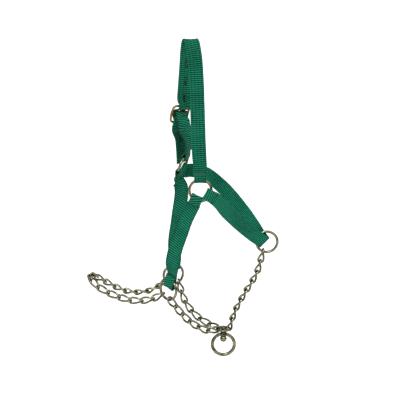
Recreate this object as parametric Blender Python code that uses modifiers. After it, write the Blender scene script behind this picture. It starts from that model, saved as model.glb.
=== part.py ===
"""A head halter for a dog: webbing straps on welded rings, a centre-bar buckle and chains that
meet in a swivel. It hangs from its crown. All dimensions below are in millimetres.

Origin: the poll, inside the fold of the crown strap. +X runs from the muzzle to the throat,
+Y from the near side to the far side, +Z up.
"""

import math

import bmesh
import bpy
from mathutils import Matrix, Vector

MM = 0.001
GAP = 0.4
HOOK_GAP = 0.6

WEBBING_WIDTH = 19.0
WEBBING_THICKNESS = 1.6
LOOP_WIDTH = 16.0
STITCH_GAP = 0.5

RING_RADIUS = 14.3
RING_WIRE = 3.2
LEAD_RING_RADIUS = 15.2
LEAD_RING_WIRE = 4.0
EYE_RADIUS = 8.9
EYE_WIRE = 3.0

LINK_WIRE = 2.4
LINK_PITCH = 15.6
LINK_HALF_WIDTH = 3.8
LINK_TWIST = math.radians(84)
LINK_REACH = 1.75

SLIT_LENGTH = 12.0
SLIT_WIDTH = 3.2
SLIT_SPACING = 25.0
SLITS_ABOVE_BUCKLE = 3
SLITS_BELOW_BUCKLE = 2

FRAME_HALF_LENGTH = 12.0
FRAME_HALF_WIDTH = 12.0
FRAME_BULGE = 2.2
FRAME_WIRE = 3.0
TONGUE_WIDTH = 2.2

NEAR_CHEEK = Vector((12.8, -42.0, -190.4))
FAR_CHEEK = Vector((-11.0, 42.0, -174.6))
NEAR_JAW = Vector((-30.3, -25.0, -331.0))
FAR_JAW = Vector((-24.8, 35.0, -329.1))
THROAT = Vector((102.6, 0.0, -271.8))
SWIVEL = Vector((44.5, 0.0, -396.4))
LEAD_DROP = 22.5
LEAD_BOSS_LOW = 2.4
BAR = Vector((-13.5, 31.0, -101.0))

GREEN = (0.012, 0.16, 0.09)
STEEL = (0.55, 0.54, 0.49)
BRASS = (0.62, 0.45, 0.17)


# ---------------------------------------------------------------- scene, materials and objects

def clear_scene():
    for item in list(bpy.data.objects):
        bpy.data.objects.remove(item, do_unlink=True)


def new_collection(name):
    made = bpy.data.collections.new(name)
    bpy.context.scene.collection.children.link(made)
    return made


def new_material(name, colour, roughness, metallic):
    made = bpy.data.materials.new(name)
    made.use_nodes = True
    shader = made.node_tree.nodes["Principled BSDF"]
    shader.inputs["Base Color"].default_value = (*colour, 1.0)
    shader.inputs["Roughness"].default_value = roughness
    shader.inputs["Metallic"].default_value = metallic
    return made


clear_scene()
HALTER = new_collection("head_halter")
CUTTERS = new_collection("cutters")
WEBBING = new_material("webbing", GREEN, 0.85, 0.0)
NICKEL = new_material("nickel", STEEL, 0.3, 1.0)
GOLD = new_material("brass", BRASS, 0.35, 1.0)


def add_object(name, data, material, collection=HALTER):
    made = bpy.data.objects.new(name, data)
    collection.objects.link(made)
    if material:
        data.materials.append(material)
    return made


def frame_matrix(origin, x_axis, y_axis, z_axis):
    turn = Matrix((x_axis, y_axis, z_axis)).transposed().to_4x4()
    return Matrix.Translation(origin * MM) @ turn


def square_up(along, across):
    """Unit vectors: the first axis kept, the second made perpendicular to it, and their normal."""
    along = along.normalized()
    across = (across - across.dot(along) * along).normalized()
    return along, across, along.cross(across)


# ---------------------------------------------------------------- wires

def wire(name, points, radius, material, closed=True, sides=2):
    """A round wire through the points, which are in the object's own frame."""
    data = bpy.data.curves.new(name, "CURVE")
    data.dimensions = "3D"
    data.bevel_depth = radius * MM
    data.bevel_resolution = sides
    data.use_fill_caps = not closed
    spline = data.splines.new("POLY")
    spline.points.add(len(points) - 1)
    for slot, point in zip(spline.points, points):
        slot.co = (*(point * MM), 1.0)
    spline.use_cyclic_u = closed
    return add_object(name, data, material)


def circle(radius, count):
    turns = (2 * math.pi * step / count for step in range(count))
    return [Vector((radius * math.cos(a), radius * math.sin(a), 0)) for a in turns]


class Ring:
    """A welded ring: right and up span its plane, and out is the side that faces outward."""

    def __init__(self, name, centre, right, up, outward):
        self.name, self.centre = name, centre
        self.up, self.right, normal = square_up(up, right)
        self.out = normal if normal.dot(Vector(outward)) > 0 else -normal

    def direction(self, degrees):
        angle = math.radians(degrees)
        return math.cos(angle) * self.right + math.sin(angle) * self.up

    def wire_at(self, degrees):
        return self.centre + RING_RADIUS * self.direction(degrees)

    def build(self):
        made = wire(self.name, circle(RING_RADIUS, 26), RING_WIRE / 2, NICKEL)
        made.matrix_world = frame_matrix(self.centre, self.right, self.up, self.right.cross(self.up))
        return made


# ---------------------------------------------------------------- webbing

class Station:
    """One cross-section of a strap: its middle, the direction of its width, and the width."""

    def __init__(self, middle, across, width=WEBBING_WIDTH):
        self.middle, self.across, self.width = middle, across, width


def loop_stations(ring, degrees, tail, slack=0.0, sewn=6.2):
    """A strap end sewn round a ring's wire, from the cut end on the outside to the inner layer.

    The slack lets the fold sit further inside the ring; sewn is how far from the wire the seam is.
    """
    s_axis, n_axis = ring.direction(degrees), ring.out
    across = s_axis.cross(n_axis)
    layer = (WEBBING_THICKNESS + STITCH_GAP) / 2
    bend = RING_WIRE / 2 + 0.5 + WEBBING_THICKNESS / 2
    bend_at = math.sqrt((RING_RADIUS - RING_WIRE / 2) ** 2 - (LOOP_WIDTH / 2) ** 2) + 1.4 - slack
    spread_at, sewn_at = RING_RADIUS + 0.6, RING_RADIUS + sewn
    profile = [(tail, layer), (sewn_at, layer), ((spread_at + sewn_at) / 2, (bend + layer) / 2 + 0.15)]
    profile += [(spread_at, bend)]
    for step in range(7):
        angle = math.radians(90 + 30 * step)
        profile.append((bend_at + bend * math.cos(angle), bend * math.sin(angle)))
    profile += [(spread_at, -bend), ((spread_at + sewn_at) / 2, -(bend + layer) / 2 - 0.15)]
    profile += [(sewn_at, -layer)]
    made = []
    for s, n in profile:
        width = LOOP_WIDTH if s < sewn_at else (LOOP_WIDTH + WEBBING_WIDTH) / 2
        made.append(Station(ring.centre + s * s_axis + n * n_axis, across, width))
    return made


def tangents(points):
    """Directions through unevenly spaced points, weighted by the chords on either side."""
    found = []
    for i, point in enumerate(points):
        if i in (0, len(points) - 1):
            other = points[1] if i == 0 else points[-2]
            found.append((other - point if i == 0 else point - other).normalized())
            continue
        before, after = point - points[i - 1], points[i + 1] - point
        a, b = before.length, after.length
        found.append((after / b * a + before / a * b).normalized())
    return found


def hermite(a, b, slope_a, slope_b, t):
    chord = (b - a).length
    return (
        (2 * t**3 - 3 * t**2 + 1) * a + (t**3 - 2 * t**2 + t) * chord * slope_a
        + (3 * t**2 - 2 * t**3) * b + (t**3 - t**2) * chord * slope_b
    )


def smooth_points(points, spacing):
    slopes = tangents(points)
    made = [points[0]]
    for a, b, slope_a, slope_b in zip(points, points[1:], slopes, slopes[1:]):
        steps = max(1, round((b - a).length / spacing))
        made += [hermite(a, b, slope_a, slope_b, step / steps) for step in range(1, steps + 1)]
    return made


def smooth_stations(keys, spacing=7.0):
    """Stations along a smooth curve through the key stations, with width and twist blended."""
    slopes = tangents([key.middle for key in keys])
    made = [keys[0]]
    for a, b, slope_a, slope_b in zip(keys, keys[1:], slopes, slopes[1:]):
        steps = max(1, round((b.middle - a.middle).length / spacing))
        for step in range(1, steps + 1):
            t = step / steps
            middle = hermite(a.middle, b.middle, slope_a, slope_b, t)
            blend = t * t * (3 - 2 * t)
            across = a.across.lerp(b.across, blend)
            made.append(Station(middle, across, a.width + (b.width - a.width) * blend))
    for station, slope in zip(made, tangents([station.middle for station in made])):
        station.across = (station.across - station.across.dot(slope) * slope).normalized()
    return made


def offset_stations(stations, distance):
    """The same strap, moved this far along its own face normal."""
    slopes = tangents([station.middle for station in stations])
    return [
        Station(station.middle + distance * station.across.cross(slope), station.across, station.width)
        for station, slope in zip(stations, slopes)
    ]


def strap(name, stations):
    """A flat webbing: a ruled sheet through the stations, made solid by its thickness."""
    mesh = bpy.data.meshes.new(name)
    bm = bmesh.new()
    rows = []
    for station in stations:
        half = station.across * (station.width / 2)
        rows.append([bm.verts.new((station.middle + side * half) * MM) for side in (-1, 1)])
    for (a, b), (c, d) in zip(rows, rows[1:]):
        bm.faces.new((a, c, d, b))
    bm.to_mesh(mesh)
    bm.free()
    made = add_object(name, mesh, WEBBING)
    solid = made.modifiers.new("thickness", "SOLIDIFY")
    solid.thickness = WEBBING_THICKNESS * MM
    solid.offset = 0
    solid.use_even_offset = True
    return made


def cut_slot(target, centre, along, across, length, width, depth):
    """A rectangular slot cut right through a strap."""
    along, across, normal = square_up(along, across)
    mesh = bpy.data.meshes.new(target.name + "_slot")
    bm = bmesh.new()
    bmesh.ops.create_cube(bm, size=MM)
    bmesh.ops.scale(bm, vec=(length, width, depth), verts=bm.verts)
    bm.to_mesh(mesh)
    bm.free()
    cutter = add_object(mesh.name, mesh, None, CUTTERS)
    cutter.matrix_world = frame_matrix(centre, along, across, normal)
    cutter.hide_render = True
    cutter.display_type = "WIRE"
    cut = target.modifiers.new("slot", "BOOLEAN")
    cut.operation = "DIFFERENCE"
    cut.object = cutter


def place_along(stations, distance):
    """(middle, direction, width direction) at this length along the stations."""
    for a, b in zip(stations, stations[1:]):
        step = (b.middle - a.middle).length
        if distance <= step:
            t = distance / step
            return a.middle.lerp(b.middle, t), b.middle - a.middle, a.across.lerp(b.across, t)
        distance -= step
    return stations[-1].middle, stations[-1].middle - stations[-2].middle, stations[-1].across


def length_to(stations, point):
    """Length along the stations to the one nearest the point."""
    nearest = min(range(len(stations)), key=lambda i: (stations[i].middle - point).length)
    return sum((b.middle - a.middle).length for a, b in zip(stations[:nearest], stations[1:]))


# ---------------------------------------------------------------- rings

X_AXIS, Z_AXIS = Vector((1, 0, 0)), Vector((0, 0, 1))
FAR_RIGHT, FAR_UP = Vector((0.225, 0.945, -0.236)), Vector((0.41, 0.22, 0.88))
NEAR_CHEEK_RING = Ring("near_cheek_ring", NEAR_CHEEK, X_AXIS, Vector((0, 0.12, 1)), (0, -1, 0))
FAR_CHEEK_RING = Ring("far_cheek_ring", FAR_CHEEK, FAR_RIGHT, FAR_UP, (-0.89, 0.30, 0.34))
NEAR_JAW_RING = Ring("near_jaw_ring", NEAR_JAW, Vector((0.75, -0.66, 0)), Vector((0.05, 0, 1)), (0, -1, 0))
FAR_JAW_RING = Ring("far_jaw_ring", FAR_JAW, Vector((-0.93, -0.37, 0)), Vector((0.05, 0, 1)), (0, 1, 0))
THROAT_RING = Ring("throat_ring", THROAT, X_AXIS, Z_AXIS, (0, -1, 0))
RINGS = (NEAR_CHEEK_RING, FAR_CHEEK_RING, NEAR_JAW_RING, FAR_JAW_RING, THROAT_RING)


# ---------------------------------------------------------------- buckle

BUCKLE_OUT, BUCKLE_UP = Vector((-0.50, 0.80, 0.33)), Vector((0.24, -0.25, 0.94))
BUCKLE_UP, BUCKLE_OUT, BUCKLE_RIGHT = square_up(BUCKLE_UP, BUCKLE_OUT)
WIDTH_AXIS = -BUCKLE_RIGHT
CHAPE_DEGREES = 115


def on_buckle(up, out, right=0.0):
    return BAR + up * BUCKLE_UP + out * BUCKLE_OUT + right * BUCKLE_RIGHT


def buckle_frame():
    """A bowed rectangular wire frame with rounded corners and a bar across its middle."""
    corner = 4.0
    outline = []
    for across, along in ((1, 1), (-1, 1), (-1, -1), (1, -1)):
        start = {(1, 1): 0, (-1, 1): 90, (-1, -1): 180, (1, -1): 270}[(across, along)]
        for step in range(4):
            angle = math.radians(start + 30 * step)
            x = across * (FRAME_HALF_WIDTH - corner) + corner * math.cos(angle)
            y = along * (FRAME_HALF_LENGTH - corner) + corner * math.sin(angle)
            outline.append((x, y))
        if across == 1 and along == -1 or across == -1 and along == 1:
            side = -1 if along == 1 else 1
            outline += [(side * FRAME_HALF_WIDTH, -side * y) for y in (4.0, 0.0, -4.0)]
    bowed = [Vector((x, y, -FRAME_BULGE * (y / FRAME_HALF_LENGTH) ** 2)) for x, y in outline]
    rim = wire("buckle_rim", bowed, FRAME_WIRE / 2, GOLD)
    half = FRAME_HALF_WIDTH
    bar = wire("buckle_bar", [Vector((-half, 0, 0)), Vector((half, 0, 0))], 1.3, GOLD, closed=False)
    made = joined("buckle_frame", [rim, bar], GOLD)
    at = on_buckle(0, 0, 0.3)
    made.matrix_world = frame_matrix(at, BUCKLE_RIGHT, BUCKLE_UP, BUCKLE_RIGHT.cross(BUCKLE_UP))
    return made


def joined(name, pieces, material):
    """The pieces as one solid: each is made a mesh, welded, and joined by a Boolean union."""
    graph = bpy.context.evaluated_depsgraph_get()
    solids = []
    for piece in pieces:
        mesh = bpy.data.meshes.new_from_object(piece.evaluated_get(graph))
        bm = bmesh.new()
        bm.from_mesh(mesh)
        bmesh.ops.remove_doubles(bm, verts=bm.verts, dist=1e-6)
        bmesh.ops.recalc_face_normals(bm, faces=bm.faces)
        bm.to_mesh(mesh)
        bm.free()
        bpy.data.objects.remove(piece, do_unlink=True)
        solids.append(mesh)
    made = add_object(name, solids[0], None)
    for mesh in solids[1:]:
        other = add_object(name + "_joined", mesh, None, CUTTERS)
        other.hide_render = True
        other.display_type = "WIRE"
        union = made.modifiers.new("join", "BOOLEAN")
        union.operation = "UNION"
        union.object = other
    graph = bpy.context.evaluated_depsgraph_get()
    final = bpy.data.meshes.new_from_object(made.evaluated_get(graph))
    bpy.data.objects.remove(made, do_unlink=True)
    for item in list(CUTTERS.objects):
        if item.name.startswith(name + "_joined"):
            bpy.data.objects.remove(item, do_unlink=True)
    final.materials.clear()
    return add_object(name, final, material)


def buckle_tongue():
    """A flat tongue: an eye round the bar, and a blade that rests on the frame's upper end."""
    inner, outer = 1.75, 3.05
    reach = FRAME_HALF_LENGTH + 2.0
    rest = FRAME_WIRE / 2 - FRAME_BULGE + GAP
    turns = [math.radians(degrees) for degrees in list(range(60, 301, 20)) + [320, 340, 0]]
    blade = [(outer * math.cos(angle), outer * math.sin(angle)) for angle in turns]
    blade += [(4.2, 0.6), (7.0, rest + 0.5), (9.8, rest), (reach, rest), (reach, rest + 1.3)]
    blade += [(9.4, rest + 1.9), (6.0, 2.2), (3.6, 2.7)]
    data = bpy.data.curves.new("buckle_tongue", "CURVE")
    data.dimensions = "2D"
    data.fill_mode = "BOTH"
    data.extrude = TONGUE_WIDTH / 2 * MM
    hole = [(inner * math.cos(math.radians(a)), inner * math.sin(math.radians(a))) for a in range(0, 360, 30)]
    for points in (blade, hole):
        spline = data.splines.new("POLY")
        spline.points.add(len(points) - 1)
        for slot, (up, out) in zip(spline.points, points):
            slot.co = (up * MM, out * MM, 0.0, 1.0)
        spline.use_cyclic_u = True
    made = add_object("buckle_tongue", data, GOLD)
    made.matrix_world = frame_matrix(BAR, BUCKLE_UP, BUCKLE_OUT, BUCKLE_UP.cross(BUCKLE_OUT))
    return made


# ---------------------------------------------------------------- straps

def crown_strap():
    """Near cheek ring, over the poll, down the far side, through the buckle, to the free end."""
    loop = loop_stations(NEAR_CHEEK_RING, 90, 24.0)
    side = loop[0].across
    if side.x < 0:
        side = -side
        loop = [Station(s.middle, -s.across, s.width) for s in loop]
    near = [(10.9, -34, -138.3), (8.7, -22, -76), (7.8, -17.5, -51), (6.4, -12.5, -28), (4.2, -8.5, -11)]
    top = [(2.0, -5.0, -2.0), (0, 0, 0.8), (-2.0, 5.0, -2.0)]
    far = [(-3.8, 8.5, -13), (-5.2, 12, -31), (-6.8, 16.5, -53)]
    keys = loop + [Station(Vector(point), side) for point in near + top + far]
    keys.append(Station(Vector((-8.4, 20.0, -72)), side.lerp(WIDTH_AXIS, 0.3)))
    through = [(14.8, -5.9), (10.5, -5.7), (4.8, 0.9), (1.6, 4.9), (-2.0, 5.0), (-6.3, 0.6)]
    through += [(-10.2, -4.95), (-14.4, -5.0)]
    keys.append(Station(Vector((-9.0, 22.8, -81.0)), side.lerp(WIDTH_AXIS, 0.6)))
    keys += [Station(on_buckle(up, out), WIDTH_AXIS) for up, out in through]
    core = chape_core()
    for share, lift in ((0.58, 7.5), (0.36, 9.0), (0.12, 9.0)):
        under = core[round(share * (len(core) - 1))]
        keys.append(Station(under.middle + lift * FAR_CHEEK_RING.out.lerp(BUCKLE_OUT, share), under.across))
    s_axis = FAR_CHEEK_RING.direction(CHAPE_DEGREES)
    end = FAR_CHEEK + 5.0 * s_axis + 8.5 * FAR_CHEEK_RING.out
    keys.append(Station(end, core[0].across))
    stations = smooth_stations(keys)
    made = strap("crown_strap", stations)
    at_buckle = length_to(stations, on_buckle(3.4, 2.7))
    for hole in range(-SLITS_ABOVE_BUCKLE, SLITS_BELOW_BUCKLE + 1):
        middle, along, across = place_along(stations, at_buckle + hole * SLIT_SPACING)
        if hole == 0:
            cut_slot(made, on_buckle(3.6, 2.0), BUCKLE_UP, BUCKLE_RIGHT, SLIT_LENGTH, SLIT_WIDTH, 16)
        else:
            cut_slot(made, middle, along, across, SLIT_LENGTH, SLIT_WIDTH, 7)
    return made


def chape_core():
    """The middle of the doubled buckle strap, from its seam at the far cheek ring up to the bar."""
    s_axis = FAR_CHEEK_RING.direction(CHAPE_DEGREES)
    across = -s_axis.cross(FAR_CHEEK_RING.out)
    return smooth_stations([
        Station(FAR_CHEEK + (RING_RADIUS + 6.2) * s_axis, across, 18.0),
        Station(FAR_CHEEK + (RING_RADIUS + 9.5) * s_axis, across.lerp(WIDTH_AXIS, 0.2)),
        Station(Vector((-10.8, 36.0, -131.0)), across.lerp(WIDTH_AXIS, 0.6)),
        Station(on_buckle(-15.0, -8.4), WIDTH_AXIS),
        Station(on_buckle(-9.0, -7.9), WIDTH_AXIS),
        Station(on_buckle(-5.2, -3.6), WIDTH_AXIS),
    ])


def buckle_strap():
    """A doubled strap between the buckle's bar and the far cheek ring, its ends meeting outside."""
    ring_end = facing(loop_stations(FAR_CHEEK_RING, CHAPE_DEGREES, RING_RADIUS + 9.0), WIDTH_AXIS)
    core = chape_core()
    layer = (WEBBING_THICKNESS + STITCH_GAP) / 2
    sides = (offset_stations(core, layer), offset_stations(core, -layer))
    outer = max(sides, key=lambda s: (s[-1].middle - core[-1].middle).dot(BUCKLE_OUT))
    inner = min(sides, key=lambda s: (s[-1].middle - core[-1].middle).dot(BUCKLE_OUT))
    fold = []
    radius = 1.3 + 0.35 + WEBBING_THICKNESS / 2
    down = math.degrees(math.atan2(-3.6, -5.2))
    for step in range(9):
        angle = math.radians(down + 270 - 22.5 * step)
        fold.append(Station(on_buckle(radius * math.cos(angle), radius * math.sin(angle)), WIDTH_AXIS))
    half = len(outer) // 2
    inner_side = list(reversed(inner))[:-1]
    keys = outer[half:] + fold + inner_side + list(reversed(ring_end))
    made = strap("buckle_strap", smooth_stations(keys))
    cut_slot(made, on_buckle(0.4, 0.0), BUCKLE_UP, BUCKLE_RIGHT, 8.6, TONGUE_WIDTH + 1.4, 9.0)
    return made


def facing(stations, direction):
    """The same stations with their width pointing along, not against, the direction."""
    if stations[0].across.dot(direction) > 0:
        return stations
    return [Station(s.middle, -s.across, s.width) for s in stations]


def cheek_strap(name, top, low, route):
    """A single strap between a cheek ring and a jaw ring, both ends folded to the outside."""
    across = Vector((0.98, 0.0, -0.18))
    between = [Station(Vector(point), across) for point in route]
    return strap(name, smooth_stations(facing(top, across) + between + list(reversed(facing(low, across)))))


def throat_strap():
    """One strap from the near cheek ring, through the throat ring, to the far cheek ring."""
    near = facing(loop_stations(NEAR_CHEEK_RING, -24, 21.2), -Z_AXIS)
    far = facing(loop_stations(FAR_CHEEK_RING, 15, 21.2), -Z_AXIS)
    slope = Vector((-0.68, 0.05, -0.73))
    near_route = [(50.4, -28.0, -224.5), (70.1, -14.5, -247.0), (85.4, -7.0, -261.4), (92.8, -4.8, -267.0)]
    bight = [(97.8, -3.2, -271.0), (99.7, 0.0, -272.6), (97.8, 3.2, -271.0)]
    far_route = [(92.5, 5.0, -264.2), (84.5, 9.0, -251.8), (68.0, 18.5, -229.8), (43.0, 33.0, -204.3)]
    far_route += [(20.0, 47.0, -185.5), (5.5, 60.5, -174.0)]
    keys = near + [Station(Vector(point), slope) for point in near_route + bight + far_route]
    return strap("throat_strap", smooth_stations(keys + list(reversed(far))))


# ---------------------------------------------------------------- chains

def link_curve(name):
    """One twisted link along X: an oval whose cross-section turns from end to end."""
    data = bpy.data.curves.new(name, "CURVE")
    data.dimensions = "3D"
    data.bevel_depth = LINK_WIRE / 2 * MM
    data.bevel_resolution = 1
    end = LINK_PITCH / 2 + LINK_REACH - LINK_HALF_WIDTH
    outline = []
    for side in (1, -1):
        for step in range(7):
            angle = math.radians(-90 + 30 * step) if side == 1 else math.radians(90 + 30 * step)
            x, y = LINK_HALF_WIDTH * math.cos(angle), LINK_HALF_WIDTH * math.sin(angle)
            outline.append((side * end + x, y))
        outline.append((0.0, side * LINK_HALF_WIDTH))
    spline = data.splines.new("POLY")
    spline.points.add(len(outline) - 1)
    reach = end + LINK_HALF_WIDTH
    for slot, (x, y) in zip(spline.points, outline):
        turn = LINK_TWIST / 2 * max(-1, min(1, x / (0.8 * reach)))
        slot.co = (x * MM, y * math.cos(turn) * MM, y * math.sin(turn) * MM, 1.0)
    spline.use_cyclic_u = True
    return data


LINK = link_curve("chain_link")
LINK.materials.append(NICKEL)


def stepped(curve, start, count):
    """Points one link pitch apart along a dense curve, and how far its end is beyond the last."""
    found, at = [start], 0
    for _ in range(count):
        while at < len(curve) - 1 and (curve[at + 1] - found[-1]).length < LINK_PITCH:
            at += 1
        if at >= len(curve) - 1:
            return found, -(LINK_PITCH - (curve[-1] - found[-1]).length + LINK_PITCH * (count - len(found)))
        near, beyond = curve[at], curve[at + 1]
        low, high = 0.0, 1.0
        for _ in range(20):
            half = (low + high) / 2
            if (near.lerp(beyond, half) - found[-1]).length < LINK_PITCH:
                low = half
            else:
                high = half
        found.append(near.lerp(beyond, low))
    return found, (curve[-1] - found[-1]).length


def chain_joints(start, route, end, count):
    """Where the links of a chain meet: the route's sag is scaled until they reach from end to end."""
    guide = smooth_points([start] + [Vector(point) for point in route] + [end], 1.0)
    low, high = 0.2, 2.5
    for _ in range(40):
        scale = (low + high) / 2
        last = len(guide) - 1
        curve = []
        for i, point in enumerate(guide):
            chord = start.lerp(end, i / last)
            curve.append(chord + scale * (point - chord))
        found, over = stepped(curve, start, count)
        if over > 0:
            high = scale
        else:
            low = scale
    return found


def chain(name, start, start_tangent, route, end, end_tangent, count, extra_turns=0.0):
    """The chain's links as separate objects; its end bows lie square to the rings' wires."""
    joints = chain_joints(start, route, end, count)
    if len(joints) <= count:
        joints.append(end)
    axes = [(b - a).normalized() for a, b in zip(joints, joints[1:])]
    reference = axes[0].cross(start_tangent).normalized()
    rolls, frames = [], []
    for axis in axes:
        reference = (reference - reference.dot(axis) * axis).normalized()
        frames.append(reference)
    last_side = axes[-1].cross(frames[-1])
    wanted = axes[-1].cross(end_tangent).normalized()
    end_turn = math.atan2(wanted.dot(last_side), wanted.dot(frames[-1]))
    first = LINK_TWIST / 2
    last = end_turn - LINK_TWIST / 2
    whole = math.pi * round((first - last) / math.pi + extra_turns)
    for i in range(count):
        share = i / (count - 1)
        rolls.append(first + (last + whole - first) * share)
    for i, (axis, reference, roll) in enumerate(zip(axes, frames, rolls)):
        side = axis.cross(reference)
        across = math.cos(roll) * reference + math.sin(roll) * side
        middle = (joints[i] + joints[i + 1]) / 2
        made = bpy.data.objects.new(f"{name}_{i + 1:02d}", LINK)
        HALTER.objects.link(made)
        made.matrix_world = frame_matrix(middle, axis, across, axis.cross(across))


def hooked(wire_point, towards, wire_size):
    """Where a chain's end joint lies when its end bow hangs on a wire at this point."""
    apart = LINK_WIRE / 2 + wire_size / 2 + HOOK_GAP
    return wire_point + (LINK_REACH - apart) * (Vector(towards) - wire_point).normalized()


def ring_hook(ring, degrees, towards):
    return hooked(ring.wire_at(degrees), towards, RING_WIRE), ring.direction(degrees + 90)


def eye_hook(degrees, towards):
    angle = math.radians(degrees)
    point = SWIVEL + EYE_RADIUS * Vector((math.cos(angle), math.sin(angle), 0))
    return hooked(point, towards, EYE_WIRE), Vector((-math.sin(angle), math.cos(angle), 0))


def chains():
    route = [(87.0, 0, -315.0), (74.2, 1.5, -343.0), (62.0, 3.0, -371.0)]
    chain("throat_link", *ring_hook(THROAT_RING, -112, route[0]), route, *eye_hook(22, route[-1]), 8)
    route = [(-14.3, -21, -371.2), (-5.0, -17.5, -384.6), (7.5, -14, -394.4), (20.6, -10.5, -401.0)]
    chain("near_chin_link", *ring_hook(NEAR_JAW_RING, -76, route[0]), route, *eye_hook(200, route[-1]), 6)
    route = [(-5.8, 27, -362.2), (3.1, 22, -373.5), (13.3, 17, -383.1), (25.2, 12, -390.7)]
    chain("far_chin_link", *ring_hook(FAR_JAW_RING, -130, route[0]), route, *eye_hook(150, route[-1]), 6)
    near = [(-50.0, -22, -345.0), (-77.9, -25, -346.8), (-104.8, -24, -338.6), (-118.0, -22.5, -332.5)]
    tip = [(-128.5, -18.0, -326.2), (-135.0, -7.5, -320.8), (-135.6, 6.5, -321.2), (-129.0, 18.0, -327.0)]
    far = [(-115.0, 24, -337.5), (-86.5, 27, -351.2), (-56.7, 30, -350.7)]
    route = near + tip + far
    hook = (*ring_hook(NEAR_JAW_RING, 222, near[0]), route, *ring_hook(FAR_JAW_RING, -38, far[-1]))
    chain("nose_link", *hook, 16)


# ---------------------------------------------------------------- swivel

def turned(name, profile, at, material, steps=20):
    """A solid turned about Z from (radius, height) points that run down its outer side."""
    mesh = bpy.data.meshes.new(name)
    bm = bmesh.new()
    points = [bm.verts.new((radius * MM, 0, height * MM)) for radius, height in profile]
    for a, b in zip(points, points[1:]):
        bm.edges.new((a, b))
    bm.to_mesh(mesh)
    bm.free()
    made = add_object(name, mesh, material)
    made.location = at * MM
    spin = made.modifiers.new("turn", "SCREW")
    spin.steps = spin.render_steps = steps
    spin.use_merge_vertices = True
    spin.merge_threshold = 0.00001
    return made


PIN_RADIUS = 2.0
PIN_HEAD_RADIUS = 4.6


def swivel_eye():
    """A flat ring that the chains hook on, with a drilled bridge across it for the pin."""
    ring = wire("eye_ring", circle(EYE_RADIUS, 24), EYE_WIRE / 2, NICKEL)
    turn = Matrix.Rotation(math.radians(80), 3, "Z")
    ends = [turn @ Vector((x, 0, 0)) for x in (-EYE_RADIUS, EYE_RADIUS)]
    bridge = wire("eye_bridge", ends, 1.3, NICKEL, closed=False)
    half = 1.35
    boss_profile = [(0.001, half), (3.6, half), (3.6, -half), (0.001, -half)]
    boss = turned("eye_boss", boss_profile, Vector((0, 0, 0)), NICKEL)
    made = joined("swivel_eye", [ring, bridge, boss], NICKEL)
    made.location = SWIVEL * MM
    drill(made, PIN_RADIUS + 0.3, 5.0, -5.0)
    return made


def drill(target, radius, high, low):
    """A hole for the pin, between two heights from the eye's middle."""
    profile = [(0.001, high), (radius, high), (radius, low), (0.001, low)]
    cutter = turned(target.name + "_hole", profile, SWIVEL, None)
    cutter.hide_render = True
    cutter.display_type = "WIRE"
    cut = target.modifiers.new("pin_hole", "BOOLEAN")
    cut.operation = "DIFFERENCE"
    cut.object = cutter


def lead_ring():
    """A round ring, thickened and drilled at its top for the swivel pin."""
    drop = Vector((0, 0, -LEAD_DROP))
    upright = Matrix.Rotation(math.radians(90), 3, "X")
    outline = [upright @ point + drop for point in circle(LEAD_RING_RADIUS, 28)]
    ring = wire("lead_wire", outline, LEAD_RING_WIRE / 2, NICKEL)
    top = LEAD_RING_RADIUS - LEAD_DROP
    low = top - LEAD_BOSS_LOW
    profile = [(0.001, top + 2.6), (3.6, top + 2.6), (4.4, top + 1.4), (4.6, low), (0.001, low)]
    boss = turned("lead_boss", profile, Vector((0, 0, 0)), NICKEL)
    made = joined("lead_ring", [ring, boss], NICKEL)
    made.location = SWIVEL * MM
    drill(made, PIN_RADIUS + 0.3, top + 8, top - 5)
    return made


def swivel_pin():
    """The rivet pin: a ball head inside the lead ring, a shank, and a peened end on the eye."""
    top = LEAD_RING_RADIUS - LEAD_DROP
    under = top - LEAD_BOSS_LOW - GAP
    shank, head = PIN_RADIUS, PIN_HEAD_RADIUS
    profile = [(0.001, 3.0), (2.0, 2.7), (3.0, 1.75), (shank, 1.75), (shank, under)]
    middle = under - head * math.sin(math.radians(60))
    for degrees in range(60, -90, -25):
        angle = math.radians(degrees)
        profile.append((head * math.cos(angle), middle + head * math.sin(angle)))
    profile.append((0.001, middle - head))
    return turned("swivel_pin", profile, SWIVEL, NICKEL, 20)


# ---------------------------------------------------------------- the whole halter

for ring in RINGS:
    ring.build()
buckle_frame()
buckle_tongue()
crown_strap()
buckle_strap()
near_ends = loop_stations(NEAR_CHEEK_RING, -122, 21.2), loop_stations(NEAR_JAW_RING, 76, 21.2, slack=6.5)
near_route = [(-6.8, -40.0, -228.0), (-13.4, -38, -246.5), (-23.3, -33.5, -286.0)]
cheek_strap("near_cheek_strap", *near_ends, near_route)
far_ends = loop_stations(FAR_CHEEK_RING, -84, 19.0, sewn=3.6), loop_stations(FAR_JAW_RING, 94, 21.2)
cheek_strap("far_cheek_strap", *far_ends, [(-11.8, 39.5, -204.0), (-16.3, 38, -244.4), (-22.5, 35.5, -285.0)])
throat_strap()
chains()
swivel_eye()
lead_ring()
swivel_pin()
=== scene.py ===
"""Looks for a head halter: woven straps with sewn ends, welded rings, twisted-link chains, a wire
buckle and a swivel. Lengths are in millimetres until a mesh is written, and the frame is the CAD's.
"""

import math

import bpy
from mathutils import Matrix, Vector, noise

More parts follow.
